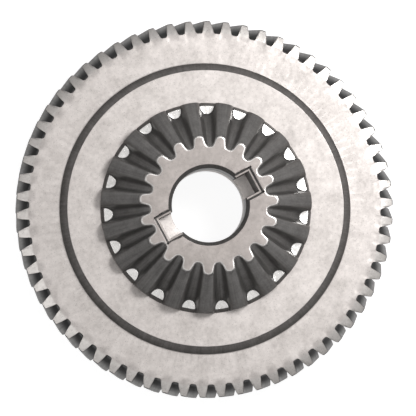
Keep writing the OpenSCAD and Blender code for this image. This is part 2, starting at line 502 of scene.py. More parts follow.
@dataclass(frozen=True)
class BevelGear:
    """The straight bevel gear that stands on the plateau. All its gaps point to one apex.

    Angles are in radians, and lengths in millimetres.

    Attributes:
        plate: The plate that it stands on.
        teeth: How many teeth there are.
        pressure: Pressure angle.
        pitch_angle: Half angle of the pitch cone.
        tip_angle: Half angle of the cone through the middles of the crowns.
        corner_angle: Half angle of the cone through the corners of the crowns.
        root_angle: Half angle of the cone through the bottoms of the gaps.
        gap_share: Share of the pitch that a gap takes on the pitch cone.
        fillet: Largest radius of the root fillets at the hub face.
        apex_h: Height of the apex above the hub face.
        heel_r: Radius of the upright outer ends of the teeth.
        pad_h: Height of the lands above the plateau.
        pad_run: How far the side of the pad leans inward.
        hub_h: Height of the hub face above the plateau.
        phase: Angle of the first gap.
        crown_steps: Straight steps across a crown.
        length_steps: Straight steps along a tooth.
        collar: How far inside the gaps the toothed ring meets the hub, on the hub face.
        collar_room: Least room between the edge's rounding and that meeting line.
        draw_in: How far the prongs' columns are drawn in toward the middle at that line.
        sunk: How deep the teeth reach below the plateau.
        edge_reach: How far the rounding of the hub face's edge reaches.
        edge_steps: Straight steps round that edge.
        tip_reach: How far the softening of the crowns' corners reaches at the hub face.
        tip_steps: Straight steps round a softened corner.
        tip_room: Least room beside a softened corner, in reaches.
        dark_columns: How many columns of a land's edge keep the flanks' finish.
        heel_rounding: Rounding of the edges of the outer ends, from 0 to 1.
        land_rounding: Rounding where a gap meets its land, from 0 to 1.
        pad_rounding: Rounding of the outer edge of a land, from 0 to 1.
    """

    plate: Plate
    teeth: int = 19
    pressure: float = math.radians(20)
    pitch_angle: float = math.radians(38)
    tip_angle: float = math.radians(40.7)
    corner_angle: float = math.radians(40.2)
    root_angle: float = math.radians(35.7)
    gap_share: float = 0.43
    fillet: float = 0.85
    apex_h: float = 17.5
    heel_r: float = 22.8
    pad_h: float = 1.4
    pad_run: float = 0.65
    hub_h: float = 12.0
    phase: float = math.radians(4.35)
    crown_steps: int = 2
    length_steps: int = 4
    collar: float = 0.32
    collar_room: float = 0.03
    draw_in: float = 0.9
    sunk: float = 1.0
    edge_reach: float = 0.42
    edge_steps: int = 4
    tip_reach: float = 0.5
    tip_steps: int = 4
    tip_room: float = 1.1
    dark_columns: int = 2
    heel_rounding: float = 0.5
    land_rounding: float = 0.45
    pad_rounding: float = 0.4

    @property
    def hub_z(self) -> float:
        """Level of the hub face."""
        return self.plate.plateau_z + self.hub_h

    @property
    def pad_z(self) -> float:
        """Level of the flat lands between the teeth."""
        return self.plate.plateau_z + self.pad_h

    @property
    def apex_z(self) -> float:
        """Level of the point that all the gaps aim at."""
        return self.hub_z + self.apex_h

    @property
    def pitch(self) -> float:
        """Angle from one gap to the next."""
        return 2 * math.pi / self.teeth

    @property
    def collar_r(self) -> float:
        """Radius on the hub face where the toothed ring meets the hub."""
        return self.apex_h * math.tan(self.root_angle) - self.collar

    def virtual_r(self, cone: float) -> float:
        """Radius in the back cone's plane of the cone with this half angle."""
        return math.sin(cone) / (math.cos(self.pitch_angle) * math.cos(cone - self.pitch_angle))

    def slope(self, virtual_r: float) -> float:
        """Radius for each unit of depth below the apex, at this radius in the back cone's plane."""
        c, s = math.cos(self.pitch_angle), math.sin(self.pitch_angle)
        return virtual_r * c * c / (1 - virtual_r * s * c)

    def gap(self) -> GapForm:
        """The gap of the virtual spur gear.

        Returns:
            Its form, for a pitch cone of unit length.
        """
        pitch_r = self.virtual_r(self.pitch_angle)
        return GapForm(
            pitch_r,
            pitch_r * math.cos(self.pressure),
            self.virtual_r(self.root_angle),
            self.virtual_r(self.corner_angle),
            self.pitch * math.cos(self.pitch_angle) / 2 * self.gap_share,
            self.fillet / (self.apex_h / math.cos(self.pitch_angle)),
        )

    def flank_angle(self, slope: float) -> float:
        """Angle from the middle of the gap to the flank, where the flank has this slope."""
        return self.gap().half_angle(self.virtual_r(math.atan(slope))) / math.cos(self.pitch_angle)

    def soft_tip(self, before: Polar, corner: Polar, after: Polar) -> list[Polar]:
        """Softens one of a tooth's tip corners.

        Args:
            before: The point before the corner.
            corner: The corner.
            after: The point after the corner.

        Returns:
            The points that stand in place of the corner.
        """
        reach = self.tip_reach / self.apex_h
        middle = corner.at(0)
        start, end = (middle + (p.at(0) - middle).normalized() * reach for p in (before, after))
        points = []
        for i in range(self.tip_steps + 1):
            share = i / self.tip_steps
            v = start.lerp(middle, share).lerp(middle.lerp(end, share), share)
            points.append(Polar(v.length, math.atan2(v.y, v.x)))
        return points

    def columns(self) -> tuple[list[Polar], list[int]]:
        """One tooth from gap to gap, as slopes and angles.

        Returns:
            The columns, and the places of the first and last column that end on the upright
            heel and not on the land.
        """
        edge_slope = (self.heel_r - self.pad_run) / (self.apex_z - self.pad_z)
        side = [
            Polar(self.slope(p.r), p.angle / math.cos(self.pitch_angle))
            for p in self.gap().side(self.virtual_r(math.atan(edge_slope)))
        ]
        split = min(range(len(side)), key=lambda i: abs(side[i].r - edge_slope))
        half = side[: split + 1] + side[split:]
        corner = half.pop()
        step = (self.pitch - 2 * corner.angle) / self.crown_steps
        bulge = math.tan(self.tip_angle) - corner.r
        crown = []
        for i in range(1, self.crown_steps):
            off_middle = 2 * i / self.crown_steps - 1
            crown.append(Polar(corner.r + bulge * (1 - off_middle ** 2), corner.angle + step * i))
        least = self.tip_reach / self.apex_h * self.tip_room
        while (half[-1].at(0) - corner.at(0)).length < least:
            half.pop()
        half += self.soft_tip(half[-1], corner, crown[0])
        far = [Polar(p.r, self.pitch - p.angle) for p in reversed(half)]
        whole = [*half, *crown, *far]
        return whole, [split + 1, len(whole) - 2 - split]

    def face_edge(self) -> list[list[Vector]]:
        """Rows round the edge of the hub face, from the face over to the flanks.

        Returns:
            The rows for one tooth, before it is turned to its place.
        """
        top = [Polar(self.apex_h * p.r, p.angle).at(self.hub_z) for p in self.columns()[0]]
        apex = Vector((0, 0, self.apex_z))
        rows: list[list[Vector]] = [[] for _ in range(self.edge_steps + 1)]
        for j, edge in enumerate(top):
            away = Vector((edge.x, edge.y, 0)).normalized()
            inward = -away
            if 0 < j < len(top) - 1:
                before = next(p for p in reversed(top[:j]) if (p - edge).length > MERGE_MM)
                after = next(p for p in top[j + 1 :] if (p - edge).length > MERGE_MM)
                along = after - before
                inward = Vector((-along.y, along.x, 0)).normalized()
            reach = self.edge_reach
            sunk = -inward.dot(away)
            if sunk > 0:
                room = Vector((edge.x, edge.y, 0)).length - self.collar_r - self.collar_room
                reach = min(reach, room / sunk)
            on_face = edge + inward * reach
            on_flank = edge + (edge - apex).normalized() * self.edge_reach
            for i, row in enumerate(rows):
                share = i / self.edge_steps
                row.append(on_face.lerp(edge, share).lerp(edge.lerp(on_flank, share), share))
        return rows

    def collar_angles(self) -> list[float]:
        """Draws one tooth's columns in at the collar, so that none cross.

        Returns:
            The angle of each column there.
        """
        line = [Vector((v.x, v.y)) for v in self.face_edge()[0]]
        near, far = line[0].length, max(v.length for v in line)
        middle = self.pitch / 2
        angles = []
        for v in line:
            angle = math.atan2(v.y, v.x)
            share = self.draw_in * (v.length - near) / (far - near)
            angles.append(angle + (middle - angle) * share)
        return angles

    def foot_angle(self, column: int) -> float:
        """Follows a column down to the plateau.

        Args:
            column: The column's place in the tooth.

        Returns:
            Its angle there.
        """
        whole, (first, last) = self.columns()
        angle = whole[column].angle
        if first < column < last:
            return angle
        edge = whole[first].angle
        foot = self.flank_angle(self.heel_r / (self.apex_z - self.plate.plateau_z))
        if column <= first:
            return angle * foot / edge
        return self.pitch - (self.pitch - angle) * foot / edge

    def ring_angles(self, ring: Ring) -> list[float]:
        """Angles of every column, all round the gear.

        Args:
            ring: Where they are wanted.

        Returns:
            The angles, without the last column of each tooth, which is the next one's first.
        """
        if ring is Ring.PLATEAU:
            one = [self.foot_angle(j) for j in range(len(self.columns()[0]))]
        else:
            one = self.collar_angles()
        return [self.phase + a + self.pitch * i for i in range(self.teeth) for a in one[:-1]]

    def tooth(self) -> bpy.types.Object:
        """Models one tooth pitch, from the collar on the hub face down into the plate.

        Returns:
            The tooth, with the gap halves on both its sides.
        """
        whole, (first, last) = self.columns()
        placed = Matrix.Rotation(self.phase, 4, "Z")
        face_edge = [[placed @ point for point in row] for row in self.face_edge()]
        collar = [Polar(self.collar_r, a + self.phase).at(self.hub_z) for a in self.collar_angles()]
        ends, pad = [], []
        for j, p in enumerate(whole):
            angle = p.angle + self.phase
            if first <= j <= last:
                end = Polar(self.heel_r, angle).at(self.apex_z - self.heel_r / p.r)
                ends.append(end)
                pad.append(end)
            else:
                ends.append(Polar((self.apex_z - self.pad_z) * p.r, angle).at(self.pad_z))
                pad.append(Polar(self.heel_r - self.pad_run, angle).at(self.pad_z))
        feet = [Polar(self.heel_r, self.foot_angle(j) + self.phase) for j in range(len(whole))]
        plateau = self.plate.plateau_z
        steps = self.length_steps
        heel_sides = {first: self.heel_rounding, last: self.heel_rounding}
        dark = self.dark_columns
        off_land = [first - 1 - dark <= j < last + 1 + dark for j in range(len(whole))]

        def roundings(on_land: float) -> list[float]:
            """Works out the rounding from each column to the next.

            Args:
                on_land: The rounding beside a land.

            Returns:
                The roundings.
            """
            found = []
            for j in range(len(whole)):
                at_side = j in (first - 1, last)
                found.append(self.heel_rounding if first <= j < last else 0.0 if at_side else on_land)
            return found

        rows = [
            Row(collar),
            *[Row(line, 0, True) for line in face_edge],
            *[Row([a.lerp(b, i / steps) for a, b in zip(face_edge[-1], ends)], 0, True)
              for i in range(1, steps)],
            Row(ends, roundings(self.land_rounding), off_land),
            Row(pad, roundings(self.pad_rounding), True, heel_sides),
            Row([f.at(plateau) for f in feet], 0, False, heel_sides),
            Row([f.at(plateau - self.sunk) for f in feet]),
        ]
        skin = Skin()
        skin.add(rows, False)
        return skin.finish("bevel_tooth")


@dataclass(frozen=True)
class Contour:
    """The outline of the bore with both pin slots at one level.

    Attributes:
        bore_r: Radius of the bore's wall.
        half_w: Half the width of a slot.
        reach: Distance from the axis to the end of a slot.
        z: The level.
        mouth_half: Half the width at which the bore's wall ends beside a slot.
    """

    bore_r: float
    half_w: float
    reach: float
    z: float
    mouth_half: float

    def corners(self) -> list[Vector]:
        """Places the corners of both slots.

        Returns:
            The four corners of the slot on +X, and then those of the other slot.
        """
        join_x = math.sqrt(self.bore_r ** 2 - self.half_w ** 2)
        one = [(join_x, -self.half_w), (self.reach, -self.half_w),
               (self.reach, self.half_w), (join_x, self.half_w)]
        return [Vector((side * x, side * y, self.z)) for side in (1, -1) for x, y in one]

    def ring(self, places: Sequence[int], count: int, flat_slot: bool = False) -> list[Vector]:
        """Points all round the outline.

        Args:
            places: The columns that hold the eight corners.
            count: How many columns there are.
            flat_slot: Whether the outline passes the mouths of the slots along the bore.

        Returns:
            One point for each column.
        """
        corners = self.corners()
        points = [Vector()] * count
        for i, start in enumerate(places):
            slot, part = divmod(i, 4)
            steps = (places[(i + 1) % len(places)] - start) % count
            first, after = places[4 * slot], places[4 * slot + 3]
            for j in range(steps):
                if part == 3:
                    point = self.on_bore(slot, j / steps, Stretch.WALL) if j else corners[i]
                elif flat_slot:
                    share = ((start - first) % count + j) / ((after - first) % count)
                    point = self.on_bore(slot, share, Stretch.MOUTH)
                else:
                    point = corners[i].lerp(corners[i + 1], j / steps)
                points[(start + j) % count] = point
        return points

    def on_bore(self, slot: int, share: float, stretch: Stretch) -> Vector:
        """A point of the bore's wall.

        Args:
            slot: Which slot is meant, 0 for the one on +X.
            share: How far along the stretch the point lies, from 0 to 1.
            stretch: The slot's own mouth, or the wall that follows it.

        Returns:
            The point at this outline's level.
        """
        mouth = math.asin(self.mouth_half / self.bore_r)
        if stretch is Stretch.MOUTH:
            angle = mouth * (2 * share - 1)
        else:
            angle = mouth + (math.pi - 2 * mouth) * share
        return Polar(self.bore_r, angle + math.pi * slot).at(self.z)


@dataclass(frozen=True)
class Hub:
    """The hub inside the bevel teeth, with its bore and the two blind slots for a drive pin.

    Lengths are in millimetres.

    Attributes:
        bevel: The bevel gear round it.
        bore_r: Radius of the bore.
        bore_chamfer: Chamfer of the bore at the hub face.
        slot_w: Width of a slot.
        slot_reach: Distance from the axis to the outer end of a slot.
        slot_depth: Depth of a slot below the hub face.
        slot_end_run: How far the outer end of a slot leans inward.
        slot_chamfer: Chamfer round a slot at the hub face.
        slot_ledge: Width of the ledge below that chamfer.
        edge_rounding: Rounding of the edges, from 0 to 1.
        buried: How far outside the clearance bore the hidden wall of the hub stands.
    """

    bevel: BevelGear
    bore_r: float = 7.94
    bore_chamfer: float = 0.8
    slot_w: float = 4.85
    slot_reach: float = 10.9
    slot_depth: float = 7.0
    slot_end_run: float = 0.4
    slot_chamfer: float = 0.45
    slot_ledge: float = 0.4
    edge_rounding: float = 0.15
    buried: float = 0.5

    def core(self) -> bpy.types.Object:
        """Models the hub inside the collar of the bevel teeth, down to its foot in the plate.

        Returns:
            The skin, open at both ends, where the bevel teeth close it.
        """
        bevel, plate = self.bevel, self.bevel.plate
        face = bevel.hub_z
        floor = face - self.slot_depth
        half, reach = self.slot_w / 2, self.slot_reach
        chamfer, ledge = self.slot_chamfer, self.slot_ledge
        mouth_r, bore_r = self.bore_r + self.bore_chamfer, self.bore_r
        broad, broadest = half + ledge, half + ledge + chamfer
        mouth = Contour(mouth_r, broadest, reach + ledge + chamfer, face, broadest)
        step = Contour(mouth_r - chamfer, broad, reach + ledge, face - chamfer, broad)
        brink = Contour(mouth_r - chamfer, half, reach, face - chamfer, broad)
        wall = Contour(bore_r, half, reach, face - self.bore_chamfer, half)
        low = Contour(bore_r, half, reach - self.slot_end_run, floor, half)
        shoulder = Contour(bore_r, half, reach, plate.relief_depth, half)
        angles = bevel.ring_angles(Ring.HUB_FACE)
        count = len(angles)
        places = [self.nearest(angles, math.atan2(v.y, v.x)) for v in wall.corners()]
        inner = shoulder.ring(places, count, True)
        under = plate.relief_r + self.buried
        hidden_z = plate.plateau_z - bevel.sunk
        outward = [Vector((p.x, p.y, 0)).normalized() * under for p in inner]
        edge = self.edge_rounding
        along_slots = [0.0] * count
        for first, after in ((places[0], places[3]), (places[4], places[7])):
            for j in range((after - first) % count):
                along_slots[(first + j) % count] = edge
        sides = {places[i]: edge for i in (0, 3, 4, 7)}
        ends = {places[i]: edge for i in (1, 2, 5, 6)}
        rows = [
            Row([Polar(bevel.heel_r, a).at(hidden_z) for a in bevel.ring_angles(Ring.PLATEAU)]),
            Row([Vector((p.x, p.y, hidden_z)) for p in outward]),
            Row([Vector((p.x, p.y, plate.relief_depth)) for p in outward]),
            Row(inner, edge),
            Row(low.ring(places, count, True), along_slots),
            Row(low.ring(places, count), along_slots, True, {**sides, **ends}),
            Row(wall.ring(places, count), 0, True, ends),
            Row(brink.ring(places, count), along_slots, False),
            Row(step.ring(places, count), along_slots, True),
            Row(mouth.ring(places, count), edge),
            Row([Polar(bevel.collar_r, a).at(face) for a in angles]),
        ]
        skin = Skin()
        skin.add(rows, True)
        return skin.finish("hub_core")

    @staticmethod
    def nearest(angles: Sequence[float], wanted: float) -> int:
        """Finds the column at a wanted angle.

        Args:
            angles: The angles of the columns.
            wanted: The wanted angle.

        Returns:
            The place of the column whose angle is nearest.
        """
        turn = 2 * math.pi

        def away(i: int) -> float:
            """How far the column is from the wanted angle."""
            gap = (angles[i] - wanted) % turn
            return min(gap, turn - gap)

        return min(range(len(angles)), key=away)


class Nodes:
    """Adds nodes to one tree and joins them."""

    def __init__(self, tree: bpy.types.NodeTree) -> None:
        """Keeps the tree that the nodes go into."""
        self.tree = tree

    def feed(self, socket: bpy.types.NodeSocket, value: object) -> None:
        """Gives a socket what it needs.

        Args:
            socket: The socket.
            value: Another node's output to join to it, or a value to set on it.
        """
        if isinstance(value, bpy.types.NodeSocket):
            self.tree.links.new(value, socket)
        else:
            socket.default_value = value

    def add(
        self, kind: str, inputs: Mapping[object, object] | None = None, **settings: object
    ) -> bpy.types.Node:
        """Adds a node.

        Args:
            kind: The node's type.
            inputs: What goes into its sockets, by name or by place.
            settings: The node's own settings.

        Returns:
            The new node.
        """
        node = self.tree.nodes.new(kind)
        for name, value in settings.items():
            setattr(node, name, value)
        for key, value in (inputs or {}).items():
            self.feed(node.inputs[key], value)
        return node

    def math(self, operation: str, *values: object) -> bpy.types.NodeSocket:
        """Works out one number from one to three others."""
        return self.add("ShaderNodeMath", dict(enumerate(values)), operation=operation).outputs[0]

    def vector(self, operation: str, *values: object) -> bpy.types.NodeSocket:
        """Works out one vector from one or two others."""
        return self.add("ShaderNodeVectorMath", dict(enumerate(values)), operation=operation).outputs[0]

    def length(self, vector: object) -> bpy.types.NodeSocket:
        """Works out the length of a vector."""
        return self.add("ShaderNodeVectorMath", {0: vector}, operation="LENGTH").outputs["Value"]

    def noise(
        self, place: object, scale: object, detail: float, roughness: float = 0.5
    ) -> bpy.types.NodeSocket:
        """Adds a noise pattern.

        Args:
            place: The coordinates that it is read at.
            scale: Its features for each unit of length.
            detail: How many finer layers it has.
            roughness: How strong each finer layer is beside the one before.

        Returns:
            The noise, from 0 to 1.
        """
        inputs = {"Vector": place, "Scale": scale, "Detail": detail, "Roughness": roughness}
        return self.add("ShaderNodeTexNoise", inputs).outputs["Fac"]

    def mix(self, mask: object, off: object, on: object) -> bpy.types.NodeSocket:
        """Mixes two numbers by a mask."""
        return self.add("ShaderNodeMix", {0: mask, 2: off, 3: on}).outputs[0]

    def spread(self, value: object, low: float, high: float) -> bpy.types.NodeSocket:
        """Spreads the values between low and high over 0 to 1."""
        return self.add("ShaderNodeMapRange", {0: value, 1: low, 2: high}, clamp=True).outputs[0]

    def colour(self, mask: object, off: object, on: object) -> bpy.types.NodeSocket:
        """Mixes two colours by a mask."""
        return self.add("ShaderNodeMix", {0: mask, 6: off, 7: on}, data_type="RGBA").outputs[2]


@dataclass(frozen=True)
class Socket:
    """A named input or output of a node group.

    Attributes:
        name: Its name.
        kind: Its type.
        value: Its usual value, where it has one.
    """

    name: str
    kind: str = "NodeSocketFloat"
    value: object = None


def new_group(
    name: str, kind: str, inputs: Sequence[Socket], outputs: Sequence[Socket]
) -> tuple[Nodes, bpy.types.Node, bpy.types.Node]:
    """Starts a node group.

    Args:
        name: The group's name.
        kind: The type of its tree.
        inputs: Its inputs, with their usual values.
        outputs: Its outputs.

    Returns:
        The nodes of the group, its input node and its output node.
    """
    tree = bpy.data.node_groups.new(name, kind)
    for direction, sockets in (("INPUT", inputs), ("OUTPUT", outputs)):
        for wanted in sockets:
            made = tree.interface.new_socket(wanted.name, in_out=direction, socket_type=wanted.kind)
            if wanted.value is not None:
                made.default_value = wanted.value
    nodes = Nodes(tree)
    return nodes, nodes.add("NodeGroupInput"), nodes.add("NodeGroupOutput")


def new_material(name: str) -> tuple[bpy.types.Material, Nodes, bpy.types.Node]:
    """Starts a material.

    Args:
        name: The material's name.

    Returns:
        The material, its nodes and its Principled BSDF.
    """
    made = bpy.data.materials.new(name)
    made.use_nodes = True
    return made, Nodes(made.node_tree), made.node_tree.nodes["Principled BSDF"]


@dataclass(frozen=True)
class PolarRepeat:
    """Geometry Nodes that repeat one tooth round the axis and close it with a core.

    Attributes:
        sharp_angle: Edges sharper than this stay sharp in the shading, unless they are rounded.
        rounding: Width of the roundings where their weight is 1, in millimetres.
        segments: Faces across a rounding.
        unrounded: Edges with less rounding weight than this count as not rounded.
    """

    sharp_angle: float = math.radians(33)
    rounding: float = 0.45
    segments: int = 3
    unrounded: float = 0.01

    def tree(self) -> bpy.types.NodeTree:
        """Builds the tree, which both toothed pieces share.

        Returns:
            The tree. The modifier that it goes into sits on the core.
        """
        nodes, source, result = new_group(
            "Polar teeth",
            "GeometryNodeTree",
            [
                Socket("Core", "NodeSocketGeometry"),
                Socket("Tooth", "NodeSocketObject"),
                Socket("Tooth Count", "NodeSocketInt", 12),
                Socket("Merge Distance", "NodeSocketFloat", MERGE_MM * MM),
                Socket("Sharp Angle", "NodeSocketFloat", self.sharp_angle),
                Socket("Face Finish", "NodeSocketMaterial"),
                Socket("Pressed Finish", "NodeSocketMaterial"),
            ],
            [Socket("Gear", "NodeSocketGeometry")],
        )
        given = source.outputs
        tooth = nodes.add("GeometryNodeObjectInfo", {"Object": given["Tooth"]})
        spots = nodes.add("GeometryNodeMeshLine", {"Count": given["Tooth Count"], "Offset": (0, 0, 0)})
        index = nodes.add("GeometryNodeInputIndex").outputs[0]
        pitch = nodes.math("DIVIDE", 2 * math.pi, given["Tooth Count"])
        turn = nodes.add("ShaderNodeCombineXYZ", {"Z": nodes.math("MULTIPLY", index, pitch)})
        copies = nodes.add(
            "GeometryNodeInstanceOnPoints",
            {
                "Points": spots.outputs[0],
                "Instance": tooth.outputs["Geometry"],
                "Rotation": turn.outputs[0],
            },
        )
        real = nodes.add("GeometryNodeRealizeInstances", {0: copies.outputs[0]})
        whole = nodes.add("GeometryNodeJoinGeometry")
        nodes.feed(whole.inputs[0], given["Core"])
        nodes.feed(whole.inputs[0], real.outputs[0])
        merged = nodes.add(
            "GeometryNodeMergeByDistance",
            {"Geometry": whole.outputs[0], "Distance": given["Merge Distance"]},
        )
        smooth = nodes.add("GeometryNodeSetShadeSmooth", {0: merged.outputs[0], "Shade Smooth": True})
        bend = nodes.add("GeometryNodeInputMeshEdgeAngle").outputs["Unsigned Angle"]
        weight = nodes.add("GeometryNodeInputNamedAttribute", {"Name": ROUNDING}).outputs["Attribute"]
        bent = nodes.math("GREATER_THAN", bend, given["Sharp Angle"])
        plain = nodes.math("LESS_THAN", weight, self.unrounded)
        kept = nodes.math("MULTIPLY", bent, plain)
        sharp = nodes.add(
            "GeometryNodeSetShadeSmooth",
            {0: smooth.outputs[0], "Selection": kept, "Shade Smooth": False},
            domain="EDGE",
        )
        faces = nodes.add(
            "GeometryNodeSetMaterial", {0: sharp.outputs[0], "Material": given["Face Finish"]}
        )
        is_pressed = nodes.add("GeometryNodeInputNamedAttribute", {"Name": PRESSED}, data_type="BOOLEAN")
        flanks = nodes.add(
            "GeometryNodeSetMaterial",
            {
                0: faces.outputs[0],
                "Selection": is_pressed.outputs["Attribute"],
                "Material": given["Pressed Finish"],
            },
        )
        nodes.feed(result.inputs["Gear"], flanks.outputs[0])
        return nodes.tree

    def make(
        self,
        tree: bpy.types.NodeTree,
        name: str,
        core: bpy.types.Object,
        tooth: bpy.types.Object,
        teeth: int,
        finishes: Sequence[bpy.types.Material],
    ) -> bpy.types.Object:
        """Repeats the tooth, closes the gear, rounds its edges and makes it a plain mesh.

        Args:
            tree: The tree that repeats the teeth.
            name: Name of the finished piece.
            core: The object with everything inside the toothed ring.
            tooth: The object with one tooth pitch.
            teeth: How many teeth there are.
            finishes: The finish of the ground faces, and that of the faces left as pressed.

        Returns:
            The finished piece, without modifiers.
        """
        repeat = core.modifiers.new("Teeth", "NODES")
        repeat.node_group = tree
        inputs = {s.name: s.identifier for s in tree.interface.items_tree if s.in_out == "INPUT"}
        values = {
            "Tooth": tooth,
            "Tooth Count": teeth,
            "Merge Distance": MERGE_MM * MM,
            "Sharp Angle": self.sharp_angle,
            "Face Finish": finishes[0],
            "Pressed Finish": finishes[1],
        }
        for wanted, value in values.items():
            repeat[inputs[wanted]] = value
        rounding = core.modifiers.new("Rounding", "BEVEL")
        rounding.limit_method = "WEIGHT"
        rounding.width = self.rounding * MM
        rounding.segments = self.segments
        rounding.use_clamp_overlap = False
        shading = core.modifiers.new("Shading", "WEIGHTED_NORMAL")
        shading.keep_sharp = True
        graph = bpy.context.evaluated_depsgraph_get()
        data = bpy.data.meshes.new_from_object(
            core.evaluated_get(graph), preserve_all_data_layers=True, depsgraph=graph
        )
        data.name = name
        piece = linked(name, data)
        for used in (core, tooth):
            bpy.data.objects.remove(used)
        return piece


class Effects:
    """Shader node groups that the finishes share.

    Attributes:
        pores_per_grain: Cells of the pore pattern for each grain, along a line.
        pore_edge: Where a pore starts and where it is fully open, as shares of a cell.
        close_scale: How much closer the close clouds lie than the broad ones.
        close_share: How strong the close clouds are beside the broad ones.
        streak_range: The values of the streaks' noise that become black and white.
    """

    pores_per_grain = 0.45
    pore_edge = (-0.03, 0.05)
    close_scale = 4.5
    close_share = 1.4
    streak_range = (0.32, 0.68)

    def __init__(self) -> None:
        """Builds every group once."""
        self.grain = self.make_grain()
        self.mottling = self.make_mottling()
        self.streaks = self.make_streaks()
        self.band = self.make_band()

    def make_grain(self) -> bpy.types.NodeTree:
        """Builds the fine grain of pressed powder.

        Returns:
            A group that puts out the grain's height and the open pores between the grains.
        """
        nodes, source, result = new_group(
            "Pressed grain",
            "ShaderNodeTree",
            [
                Socket("Place", "NodeSocketVector"),
                Socket("Grains per Metre", value=5200.0),
                Socket("Pore Share", value=0.16),
            ],
            [Socket("Height"), Socket("Pores")],
        )
        given = source.outputs
        fine = nodes.noise(given["Place"], given["Grains per Metre"], 3.0, 0.62)
        close = nodes.math("MULTIPLY", given["Grains per Metre"], self.pores_per_grain)
        cells = nodes.add("ShaderNodeTexVoronoi", {"Vector": given["Place"], "Scale": close})
        edge = nodes.math("SUBTRACT", given["Pore Share"], cells.outputs["Distance"])
        pores = nodes.spread(edge, *self.pore_edge)
        nodes.feed(result.inputs["Height"], nodes.math("SUBTRACT", fine, pores))
        nodes.feed(result.inputs["Pores"], pores)
        return nodes.tree

    def make_mottling(self) -> bpy.types.NodeTree:
        """Builds the cloudy change of tone, at two sizes.

        Returns:
            A group that puts out the tone, from 0 to 1.
        """
        nodes, source, result = new_group(
            "Mottling",
            "ShaderNodeTree",
            [
                Socket("Place", "NodeSocketVector"),
                Socket("Clouds per Metre", value=260.0),
                Socket("Contrast", value=0.5),
            ],
            [Socket("Tone")],
        )
        given = source.outputs
        scale = nodes.math("MULTIPLY", given["Clouds per Metre"], self.close_scale)
        broad = nodes.noise(given["Place"], given["Clouds per Metre"], 2.0)
        close = nodes.noise(given["Place"], scale, 4.0, 0.7)
        both = nodes.math("MULTIPLY_ADD", close, self.close_share, broad)
        centred = nodes.math("SUBTRACT", both, (1 + self.close_share) / 2)
        tone = nodes.math("MULTIPLY_ADD", centred, given["Contrast"], 0.5)
        nodes.feed(result.inputs["Tone"], nodes.spread(tone, 0.0, 1.0))
        return nodes.tree

    @staticmethod
    def make_band() -> bpy.types.NodeTree:
        """Builds a ring round the axis, between two radii and between two levels.

        Returns:
            A group that puts out the ring's mask.
        """
        nodes, source, result = new_group(
            "Band",
            "ShaderNodeTree",
            [
                Socket("Place", "NodeSocketVector"),
                Socket("Inner", value=0.0),
                Socket("Outer", value=0.05),
                Socket("Low", value=0.0),
                Socket("High", value=0.03),
                Socket("Soft Edge", value=0.0002),
            ],
            [Socket("Mask")],
        )
        given = source.outputs
        away = nodes.length(nodes.vector("MULTIPLY", given["Place"], (1, 1, 0)))
        level = nodes.add("ShaderNodeSeparateXYZ", {0: given["Place"]}).outputs["Z"]
        across, upward = (
            nodes.math("MINIMUM", nodes.math("SUBTRACT", value, low), nodes.math("SUBTRACT", high, value))
            for value, low, high in (
                (away, given["Inner"], given["Outer"]),
                (level, given["Low"], given["High"]),
            )
        )
        inside = nodes.math("DIVIDE", nodes.math("MINIMUM", across, upward), given["Soft Edge"])
        nodes.feed(result.inputs["Mask"], nodes.spread(inside, -0.5, 0.5))
        return nodes.tree

    def make_streaks(self) -> bpy.types.NodeTree:
        """Builds fine lines that run away from the axis, as the press draws them along the teeth.

        Returns:
            A group that puts out the streaks' tone, from 0 to 1, and their height.
        """
        nodes, source, result = new_group(
            "Drawn streaks",
            "ShaderNodeTree",
            [
                Socket("Place", "NodeSocketVector"),
                Socket("Streaks per Radian", value=60.0),
                Socket("Change along", value=140.0),
            ],
            [Socket("Tone"), Socket("Height")],
        )
        given = source.outputs
        flat = nodes.vector("MULTIPLY", given["Place"], (1, 1, 0))
        turn = nodes.add(
            "ShaderNodeVectorMath",
            {0: nodes.vector("NORMALIZE", flat), "Scale": given["Streaks per Radian"]},
            operation="SCALE",
        )
        along = nodes.math("MULTIPLY", nodes.length(flat), given["Change along"])
        lift = nodes.add("ShaderNodeCombineXYZ", {"Z": along})
        streak = nodes.noise(nodes.vector("ADD", turn.outputs[0], lift.outputs[0]), 1.0, 4.0, 0.65)
        nodes.feed(result.inputs["Tone"], nodes.spread(streak, *self.streak_range))
        nodes.feed(result.inputs["Height"], streak)
        return nodes.tree


@dataclass(frozen=True)
class Zone:
    """A ring of the surface that looks different, from wear or from another tool, or from light and shade
    painted into its colour.

    Lengths are in millimetres.

    Attributes:
        inner: Inner radius of the ring.
        outer: Outer radius of the ring.
        low: Lowest level of the ring.
        high: Highest level of the ring.
        colour: Its colour.
        roughness: Its roughness.
        metallic: How far it reflects as bare metal.
        strength: How far it covers what lies under it, from 0 to 1.
        soft: Width over which it fades out.
    """

    inner: float
    outer: float
    low: float
    high: float
    colour: Colour
    roughness: float
    metallic: float
    strength: float = 1.0
    soft: float = 0.2


